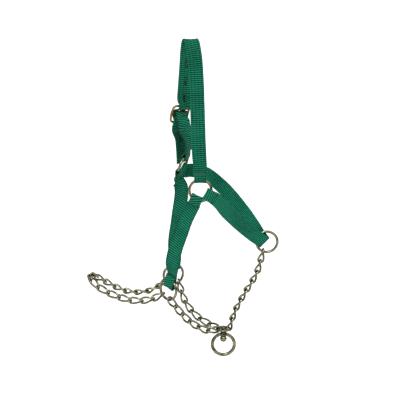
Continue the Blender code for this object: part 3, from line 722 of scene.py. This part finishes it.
def crown_strap():
    """From the near cheek ring over the poll and through the buckle, to the tail below it."""
    fold = Fold(NEAR_CHEEK_RING, 90, tail=24.0, curl=0.25, lift=1.6)
    loop = facing(fold.stations(), X_AXIS)
    side = loop[0].across
    near = [(10.9, -34, -138.3), (8.7, -22, -76), (7.8, -17.5, -51), (6.4, -12.5, -28), (4.2, -8.5, -11)]
    top = [(2.0, -5.0, -2.0), (0, 0, 0.8), (-2.0, 5.0, -2.0)]
    far = [(-3.8, 8.5, -13), (-5.2, 12, -31), (-6.8, 16.5, -53)]
    keys = loop + [Station(Vector(point), side) for point in near + top + far]
    keys.append(Station(Vector((-8.4, 20.0, -72)), side.lerp(WIDTH_AXIS, 0.3)))
    keys.append(Station(Vector((-9.0, 22.8, -81.0)), side.lerp(WIDTH_AXIS, 0.6)))
    through = [(14.8, -5.9, 0), (10.5, -5.7, 0), (4.8, 0.9, 0), (1.6, 4.9, 0.2), (-2.0, 5.0, 0.6)]
    through += [(-6.3, 0.6, 1.2), (-10.2, -4.95, 1.8), (-14.4, -5.0, 2.4)]
    keys += [Station(on_buckle(*place), WIDTH_AXIS) for place in through]
    core = chape_core()
    lean = WIDTH_AXIS.lerp(core[0].across, 0.35)
    beside = core[round(0.36 * (len(core) - 1))].middle
    middle = beside + TAIL_LIFT * FAR_CHEEK_RING.out.lerp(BUCKLE_OUT, 0.36)
    end = FAR_CHEEK - 0.5 * FAR_CHEEK_RING.direction(CHAPE_DEGREES) + TAIL_LIFT * FAR_CHEEK_RING.out
    keys += [Station(middle - 4.0 * X_AXIS, lean), Station(end + 6.5 * X_AXIS, lean)]
    stations = smooth_stations(keys, ROUTE_STEP)
    at_buckle = length_to(even(stations, STEP), on_buckle(3.4, 2.7))
    slits = [at_buckle + hole * SLIT_SPACING for hole in range(-SLITS_ABOVE, SLITS_BELOW + 1)]
    webbing("crown_strap", stations, CROSS_RIBS, [fold], slits, in_use=[at_buckle])
    sewing("crown_stitching", [fold])


def buckle_strap():
    """The doubled strap: up one side of its core, round the bar and down the other side."""
    fold = Fold(FAR_CHEEK_RING, CHAPE_DEGREES, tail=RING_RADIUS + 9.0)
    ring_end = facing(fold.stations(), WIDTH_AXIS)
    core = chape_core()
    sides = (offset_stations(core, HALF_STACK), offset_stations(core, -HALF_STACK))
    inner, outer = sorted(sides, key=lambda s: (s[-1].middle - core[-1].middle).dot(BUCKLE_OUT))
    radius = BAR_RADIUS + 0.35 + WEBBING_THICKNESS / 2
    down = math.degrees(math.atan2(CHAPE_END[1], CHAPE_END[0]))
    turn = []
    for step in range(9):
        angle = math.radians(down + 270 - 22.5 * step)
        turn.append(Station(on_buckle(radius * math.cos(angle), radius * math.sin(angle)), WIDTH_AXIS))
    keys = outer[len(outer) // 2:] + turn + inner[:0:-1] + ring_end[::-1]
    stations = smooth_stations(keys, ROUTE_STEP)
    slot = length_to(even(stations, STEP), on_buckle(radius, 0.0))
    # The buckle strap wears the twill painted lighter: painted light.
    webbing("buckle_strap", stations, TWILL_RIBS_PAINTED_LIGHTER, [fold], [slot], slit_half=3.0, in_use=[slot])
    sewing("buckle_stitching", [fold], 3)


def cheek_strap(name, top, low, route):
    across = Vector((0.98, 0.0, -0.18))
    between = [Station(Vector(point), across) for point in route]
    keys = facing(top.stations(), across) + between + facing(low.stations(), across)[::-1]
    webbing(name, smooth_stations(keys, ROUTE_STEP), TWILL_RIBS, [top, low])
    sewing(name.replace("strap", "stitching"), [top, low])


def throat_strap():
    """From the near cheek ring round the throat ring and back, behind, to the far cheek ring."""
    folds = [Fold(NEAR_CHEEK_RING, NEAR_THROAT_DEGREES, lift=-1.2), Fold(FAR_CHEEK_RING, FAR_THROAT_DEGREES)]
    near, far = (facing(fold.stations(), -Z_AXIS) for fold in folds)
    slope, upright = Vector((-0.68, 0.05, -0.73)), Vector((-0.25, 0.0, -1.0))
    near_route = [(50.0, -28.0, -224.9), (70.1, -14.5, -247.0), (85.4, -7.0, -261.4), (92.8, -4.8, -267.0)]
    bight = [(97.8, -3.2, -271.0), (99.7, 0.0, -272.6), (97.8, 3.2, -271.0)]
    far_route = [(92.5, 5.0, -264.2), (84.5, 9.0, -251.8), (68.0, 18.5, -230.0), (43.0, 33.0, -203.8)]
    far_route += [(20.0, 48.0, -188.5)]
    keys = near + [Station(Vector(point), slope) for point in near_route + bight + far_route]
    keys += [Station(Vector(point), upright) for point in ((9.0, 56.5, -187.0), (-1.0, 61.5, -186.5))]
    webbing("throat_strap", smooth_stations(keys + far[::-1], ROUTE_STEP), FINE_RIBS, folds)
    sewing("throat_stitching", folds)


crown_strap()
buckle_strap()
cheek_strap(
    "near_cheek_strap",
    Fold(NEAR_CHEEK_RING, NEAR_STRAP_DEGREES, lift=-1.2), Fold(NEAR_JAW_RING, 76, slack=6.5),
    [(-4.4, -40.0, -226.0), (-11.9, -38, -246.5), (-23.3, -33.5, -286.0)],
)
cheek_strap(
    "far_cheek_strap",
    Fold(FAR_CHEEK_RING, FAR_STRAP_DEGREES, tail=19.0, sewn=3.6), Fold(FAR_JAW_RING, 94),
    [(-13.8, 39.5, -204.0), (-17.3, 38, -244.4), (-22.5, 35.5, -285.0)],
)
throat_strap()


# ------------------------ buckle

def buckle_frame():
    """A rounded square of wire, bowed away from the strap, swollen where the centre bar meets it."""
    outline = []
    for across, along, start in ((1, 1, 0), (-1, 1, 90), (-1, -1, 180), (1, -1, 270)):
        for step in range(13):
            angle = math.radians(start + 7.5 * step)
            x = across * (FRAME_HALF_WIDTH - FRAME_CORNER) + FRAME_CORNER * math.cos(angle)
            y = along * (FRAME_HALF_LENGTH - FRAME_CORNER) + FRAME_CORNER * math.sin(angle)
            outline.append(Vector((x, y, 0)))
    dense = []
    for a, b in zip(outline, outline[1:] + outline[:1]):
        steps = max(1, round((b - a).length / STEP))
        dense += [a.lerp(b, step / steps) for step in range(steps)]
    bowed = [Vector((p.x, p.y, -FRAME_BULGE * (p.y / FRAME_HALF_LENGTH) ** 2)) for p in dense]
    radii = []
    for p in bowed:
        boss = math.exp(-(p.y / 2.2) ** 2) if abs(p.x) > FRAME_HALF_WIDTH - 1 else 0.0
        radii.append(FRAME_WIRE / 2 + 0.25 * boss)
    rim = tube(bowed, radii, 20, True)
    bar_points = [Vector((-FRAME_HALF_WIDTH + 2 * FRAME_HALF_WIDTH * k / 30, 0, 0)) for k in range(31)]
    bar = tube(bar_points, [BAR_RADIUS] * len(bar_points), 18, False)
    points, faces = together(rim, bar)
    # Painted shade along the centre bar, where the strap wraps it, and a little everywhere else.
    painted_shade = [0.6 if abs(p.y) < 3.2 and abs(p.x) < FRAME_HALF_WIDTH - 0.6 else 0.1 for p in points]
    centre = on_buckle(0, 0, FRAME_SHIFT)
    matrix = frame_matrix(centre, BUCKLE_RIGHT, BUCKLE_UP, BUCKLE_RIGHT.cross(BUCKLE_UP))
    made = add_mesh("buckle_frame_cast", points, faces, BRASS, matrix, layers={"painted_shade": painted_shade})
    stands_for(made, "buckle_frame", "brass", "buckle_frame")


def buckle_tongue():
    """A prong bent round the bar, its blade tapered to a rounded tip on the frame."""
    rest = FRAME_WIRE / 2 - FRAME_BULGE + 0.4
    curl = [math.radians(degrees) for degrees in reversed(range(20, 345, 12))]
    eye = [Vector((TONGUE_EYE_RADIUS * math.cos(a), TONGUE_EYE_RADIUS * math.sin(a), 0)) for a in curl]
    blade = [(4.6, 1.9), (7.0, rest + 1.4), (9.6, rest + 0.9), (FRAME_HALF_LENGTH + 1.6, rest + 0.7)]
    spacing = 0.5
    path = smooth_points(eye + [Vector((x, y, 0)) for x, y in blade], spacing)
    vertices, faces = [], []
    total, sides = len(path), 20
    for i, (point, slope) in enumerate(zip(path, tangents(path))):
        normal = Vector((-slope.y, slope.x, 0))
        tip = min(1.0, math.sqrt(max(0.05, (total - 1 - i) * spacing / 2.0)))
        thick = TONGUE_THICKNESS / 2 * (0.8 + 0.2 * tip)
        wide = TONGUE_WIDTH / 2 * (0.45 + 0.55 * tip)
        for k in range(sides):
            c, s = math.cos(2 * math.pi * k / sides), math.sin(2 * math.pi * k / sides)
            across = wide * math.copysign(abs(c) ** 0.55, c)
            out = thick * math.copysign(abs(s) ** 0.55, s)
            vertices.append(point + out * normal + Vector((0, 0, across)))
    for i in range(total - 1):
        for k in range(sides):
            m = (k + 1) % sides
            faces.append((i * sides + k, i * sides + m, (i + 1) * sides + m, (i + 1) * sides + k))
    faces.append(tuple(reversed(range(sides))))
    faces.append(tuple(range((total - 1) * sides, total * sides)))
    matrix = frame_matrix(BAR, BUCKLE_UP, BUCKLE_OUT, BUCKLE_UP.cross(BUCKLE_OUT))
    made = add_mesh("buckle_tongue_bent", vertices, faces, BRASS, matrix)
    stands_for(made, "buckle_tongue", "brass", "buckle_tongue")


buckle_frame()
buckle_tongue()


# ------------------------ chains

def link_mesh():
    """One twisted link, welded on one side, its wire a little thinner inside its bows where the next links
    rub, with painted shade there and on its inner side.
    """
    end = LINK_PITCH / 2 + LINK_REACH - LINK_HALF_WIDTH
    reach = end + LINK_HALF_WIDTH
    outline = []
    for side, start in ((1, -90), (-1, 90)):
        for step in range(19):
            angle = math.radians(start + 10 * step)
            x = side * end + LINK_HALF_WIDTH * math.cos(angle)
            outline.append((x, LINK_HALF_WIDTH * math.sin(angle)))
        for step in range(1, 14):
            outline.append((side * end * (1 - step / 7), side * LINK_HALF_WIDTH))
    points, radii = [], []
    for x, y in outline:
        turn = LINK_TWIST / 2 * math.sin(math.pi / 2 * max(-1, min(1, x / (0.92 * reach))))
        points.append(Vector((x, y * math.cos(turn), y * math.sin(turn))))
        weld = math.exp(-(x / 0.7) ** 2) if y < 0 else 0.0
        rubbed = math.exp(-(abs(abs(x) - reach) / 1.2) ** 2)
        radii.append(LINK_ROUND / 2 + 0.12 * weld - 0.04 * rubbed)
    sides = 14
    vertices, faces = tube(points, radii, sides, True)
    # Painted shade: darkest inside the bows, and on the side of the wire that faces into the link.
    painted_shade = []
    for index, point in enumerate(vertices):
        centre = points[index // sides]
        inward = Vector((-centre.x, -centre.y * 0.3, -centre.z * 0.3)).normalized()
        at_bow = max(0.0, min(1.0, (abs(centre.x) - end) / 2.5))
        facing_in = max(0.0, (point - centre).normalized().dot(inward))
        painted_shade.append(min(1.0, 1.2 * at_bow * facing_in + 0.5 * facing_in))
    first = add_mesh("link_shape", vertices, faces, NICKEL, layers={"painted_shade": painted_shade})
    data = first.data
    bpy.data.objects.remove(first, do_unlink=True)
    return data


LINK = link_mesh()


def stepped(curve, start, count):
    """Joints one pitch apart along the curve, and how much curve is over (less than 0: it is short)."""
    found, at = [start], 0
    for _ in range(count):
        while at < len(curve) - 1 and (curve[at + 1] - found[-1]).length < LINK_PITCH:
            at += 1
        if at >= len(curve) - 1:
            return found, -(LINK_PITCH - (curve[-1] - found[-1]).length + LINK_PITCH * (count - len(found)))
        near, beyond = curve[at], curve[at + 1]
        low, high = 0.0, 1.0
        for _ in range(20):
            half = (low + high) / 2
            if (near.lerp(beyond, half) - found[-1]).length < LINK_PITCH:
                low = half
            else:
                high = half
        found.append(near.lerp(beyond, low))
    return found, (curve[-1] - found[-1]).length


def chain_joints(start, route, end, count):
    """Bows the route in or out until this many links just fill it."""
    guide = smooth_points([start] + [Vector(point) for point in route] + [end], 1.0)
    low, high = 0.2, 2.5
    for _ in range(40):
        scale = (low + high) / 2
        chords = [start.lerp(end, i / (len(guide) - 1)) for i in range(len(guide))]
        curve = [chord + scale * (point - chord) for point, chord in zip(guide, chords)]
        found, over = stepped(curve, start, count)
        if over > 0:
            high = scale
        else:
            low = scale
    return found


def chain(name, start, start_tangent, route, end, end_tangent, count):
    """Links that hook both ends, each rolled a little further than the one before."""
    joints = chain_joints(start, route, end, count)
    if len(joints) <= count:
        joints.append(end)
    axes = [(b - a).normalized() for a, b in zip(joints, joints[1:])]
    reference = axes[0].cross(start_tangent).normalized()
    frames = []
    for axis in axes:
        reference = (reference - reference.dot(axis) * axis).normalized()
        frames.append(reference)
    last_side = axes[-1].cross(frames[-1])
    wanted = axes[-1].cross(end_tangent).normalized()
    end_turn = math.atan2(wanted.dot(last_side), wanted.dot(frames[-1]))
    first, last = LINK_TWIST / 2, end_turn - LINK_TWIST / 2
    half_turns = math.pi * round((first - last) / math.pi)
    for i, (axis, reference) in enumerate(zip(axes, frames)):
        roll = first + (last + half_turns - first) * i / (count - 1)
        across = math.cos(roll) * reference + math.sin(roll) * axis.cross(reference)
        middle = (joints[i] + joints[i + 1]) / 2
        node = f"{name}_{i + 1:02d}"
        matrix = frame_matrix(middle, axis, across, axis.cross(across))
        made = place(bpy.data.objects.new(node + "_wire", LINK), matrix)
        stands_for(made, node, "nickel", node)


def hooked(wire_point, towards, wire_size):
    """Where a link's joint lies when its bow hooks this wire with a gap."""
    apart = LINK_WIRE / 2 + wire_size / 2 + HOOK_GAP
    return wire_point + (LINK_REACH - apart) * (Vector(towards) - wire_point).normalized()


def ring_hook(ring, degrees, towards):
    return hooked(ring.wire_at(degrees), towards, RING_WIRE), ring.direction(degrees + 90)


def eye_hook(degrees, towards):
    angle = math.radians(degrees)
    point = SWIVEL + EYE_RADIUS * Vector((math.cos(angle), math.sin(angle), 0))
    return hooked(point, towards, EYE_WIRE), Vector((-math.sin(angle), math.cos(angle), 0))


def chains():
    route = [(87.0, 0, -315.0), (74.2, 1.5, -343.0), (62.0, 3.0, -371.0)]
    chain("throat_link", *ring_hook(THROAT_RING, -112, route[0]), route, *eye_hook(22, route[-1]), 8)
    route = [(-14.3, -21, -371.2), (-5.0, -17.5, -384.6), (7.5, -14, -394.4), (20.6, -10.5, -401.0)]
    chain("near_chin_link", *ring_hook(NEAR_JAW_RING, -76, route[0]), route, *eye_hook(200, route[-1]), 6)
    route = [(-5.8, 27, -362.2), (3.1, 22, -373.5), (13.3, 17, -383.1), (25.2, 12, -390.7)]
    chain("far_chin_link", *ring_hook(FAR_JAW_RING, -130, route[0]), route, *eye_hook(150, route[-1]), 6)
    near = [(-50.0, -22, -345.0), (-77.9, -25, -346.8), (-104.8, -24, -338.6), (-118.0, -22.5, -332.5)]
    tip = [(-128.5, -18.0, -326.2), (-135.0, -7.5, -320.8), (-135.6, 6.5, -321.2), (-129.0, 18.0, -327.0)]
    far = [(-115.0, 24, -337.5), (-86.5, 27, -351.2), (-56.7, 30, -350.7)]
    route = near + tip + far
    hook = (*ring_hook(NEAR_JAW_RING, 222, near[0]), route, *ring_hook(FAR_JAW_RING, -38, far[-1]))
    chain("nose_link", *hook, 16)


chains()


# ------------------------ swivel

def at_swivel(name, points, faces, body, node, layers=None):
    made = add_mesh(name, points, faces, NICKEL, Matrix.Translation(SWIVEL * MM), layers=layers)
    stands_for(made, body, "nickel", node)


def swivel_eye():
    """A flat ring with a drilled boss on a bridge across it."""
    ring = tube(circle(EYE_RADIUS, 96), [EYE_WIRE / 2] * 96, 20, True)
    along = Matrix.Rotation(math.radians(80), 3, "Z") @ X_AXIS
    places, radii = (-EYE_RADIUS, -6, -4.4, -2.9), (1.35, 1.25, 1.3, 1.6)
    near = tube([x * along for x in places], radii, 16, False)
    far = tube([-x * along for x in places[::-1]], radii[::-1], 16, False)
    boss = lathe([(PIN_HOLE, 1.2), (PIN_HOLE + 0.2, 1.4), (3.2, 1.4), (3.6, 1.0), (3.6, -1.0), (3.2, -1.4),
                  (PIN_HOLE + 0.2, -1.4), (PIN_HOLE, -1.2), (PIN_HOLE, 1.2)])
    points, faces = together(ring, near, far, boss)
    # Painted shade round the boss and on the bridge, and a little everywhere else.
    painted_shade = [0.4 if 3.4 < p.xy.length < 7.0 else 0.1 for p in points]
    at_swivel("swivel_eye_cast", points, faces, "straps", "swivel_eye", {"painted_shade": painted_shade})


def lead_ring():
    """An upright ring of wire that ends in a boss on each side of the pin."""
    top, low = LEAD_TOP, LEAD_LOW
    upright = Matrix.Rotation(math.radians(90), 3, "X")
    outline = [upright @ point + Vector((0, 0, -LEAD_DROP)) for point in circle(LEAD_RING_RADIUS, 128)]
    outline = [p for p in outline if math.hypot(p.x, p.z - top) > 3.2]
    start = max(range(len(outline)), key=lambda i: (outline[i] - outline[i - 1]).length)
    outline = outline[start:] + outline[:start]
    swell = [LEAD_ROUND / 2 + 0.35 * math.exp(-(math.hypot(p.x, p.z - top) / 5.0) ** 2) for p in outline]
    wire = tube(outline, swell, 24, False)
    boss = lathe([(PIN_HOLE, top + 2.3), (PIN_HOLE + 0.3, top + 2.6), (3.2, top + 2.6), (3.8, top + 2.1),
                  (4.4, top + 1.2), (4.7, top), (4.7, low + 0.6), (4.3, low), (PIN_HOLE + 0.2, low),
                  (PIN_HOLE, low + 0.2), (PIN_HOLE, top + 2.3)])
    points, faces = together(wire, boss)
    # Painted shade near the lower boss, and a little everywhere else.
    painted_shade = [0.5 if math.hypot(p.x, p.z - low) < 4.4 else 0.1 for p in points]
    at_swivel("lead_ring_cast", points, faces, "lead_ring", "lead_ring", {"painted_shade": painted_shade})


def swivel_pin():
    """A riveted head above the eye, a shank, and a ball below the lead ring's boss."""
    under = LEAD_LOW - 0.4
    profile = [(0.02, 3.0), (0.8, 2.97), (1.5, 2.82), (2.2, 2.55), (2.7, 2.2), (2.95, 1.9), (2.9, 1.75)]
    profile += [(PIN_RADIUS, 1.75), (PIN_RADIUS, under)]
    ball = under - PIN_HEAD_RADIUS * math.sin(math.radians(60))
    for degrees in range(60, -90, -6):
        angle = math.radians(degrees)
        profile.append((PIN_HEAD_RADIUS * math.cos(angle), ball + PIN_HEAD_RADIUS * math.sin(angle)))
    profile.append((0.02, ball - PIN_HEAD_RADIUS))
    points, faces = lathe(profile, 48)
    at_swivel("swivel_pin_riveted", points, faces, "straps", "swivel_pin")


swivel_eye()
lead_ring()
swivel_pin()


# ------------------------ floor, light and camera

def floor():
    g = Graph("paper")
    paper = g.noise(3.0, 2.0)
    white = g.mix(g.spread(paper, 0.3, 0.7), (0.93, 0.93, 0.93), (0.95, 0.95, 0.95))
    g.finish(Base_Color=white, Roughness=0.9, Specular_IOR_Level=0.1)
    data = bpy.data.meshes.new("floor")
    size, height = 14.0, -0.78
    corners = [(-size, -size, height), (size, -size, height), (size, size, height), (-size, size, height)]
    data.from_pydata(corners, [], [(0, 1, 2, 3)])
    data.materials.append(g.material)
    place(bpy.data.objects.new("floor", data))


def sun(name, direction, strength, angle):
    data = bpy.data.lights.new(name, "SUN")
    data.energy, data.angle = strength, math.radians(angle)
    made = place(bpy.data.objects.new(name, data))
    made.rotation_euler = Vector(direction).to_track_quat("Z", "Y").to_euler()


def world():
    """White to the camera; to the object, bright overhead and dark from the horizon down."""
    made = bpy.data.worlds.new("studio")
    made.use_nodes = True
    tree = made.node_tree
    tree.nodes.clear()
    coordinates = tree.nodes.new("ShaderNodeTexCoord")
    split = tree.nodes.new("ShaderNodeSeparateXYZ")
    tree.links.new(coordinates.outputs["Generated"], split.inputs[0])
    ramp = tree.nodes.new("ShaderNodeValToRGB")
    for element, position, grey in zip(ramp.color_ramp.elements, (0.15, 0.7), (0.05, 1.35)):
        element.position, element.color = position, (grey, grey, grey, 1)
    tree.links.new(split.outputs[2], ramp.inputs[0])
    light = tree.nodes.new("ShaderNodeBackground")
    tree.links.new(ramp.outputs[0], light.inputs[0])
    plain = tree.nodes.new("ShaderNodeBackground")
    plain.inputs[0].default_value = (1, 1, 1, 1)
    path = tree.nodes.new("ShaderNodeLightPath")
    mix = tree.nodes.new("ShaderNodeMixShader")
    out = tree.nodes.new("ShaderNodeOutputWorld")
    for source, socket in ((path.outputs["Is Camera Ray"], 0), (light.outputs[0], 1), (plain.outputs[0], 2)):
        tree.links.new(source, mix.inputs[socket])
    tree.links.new(mix.outputs[0], out.inputs[0])
    bpy.context.scene.world = made


def camera():
    """In front of the near side, looking a little down at it. Lengths here are in metres."""
    data = bpy.data.cameras.new("camera")
    data.lens, data.sensor_width, data.clip_start = 107.46, 36.0, 0.01
    made = place(bpy.data.objects.new("camera", data))
    target, distance, tilt = Vector((0.0123, 0.0, -0.2136)), 1.6, math.radians(14)
    away = Vector((0.0, -math.cos(tilt), math.sin(tilt)))
    made.location = target + distance * away
    made.rotation_euler = away.to_track_quat("Z", "Y").to_euler()
    bpy.context.scene.camera = made


floor()
sun("key", (-0.5, -1.5, 1.35), 1.5, 18)
sun("fill", (0.9, -0.6, 0.9), 0.5, 40)
world()
camera()
bpy.context.scene.view_settings.view_transform = "Standard"
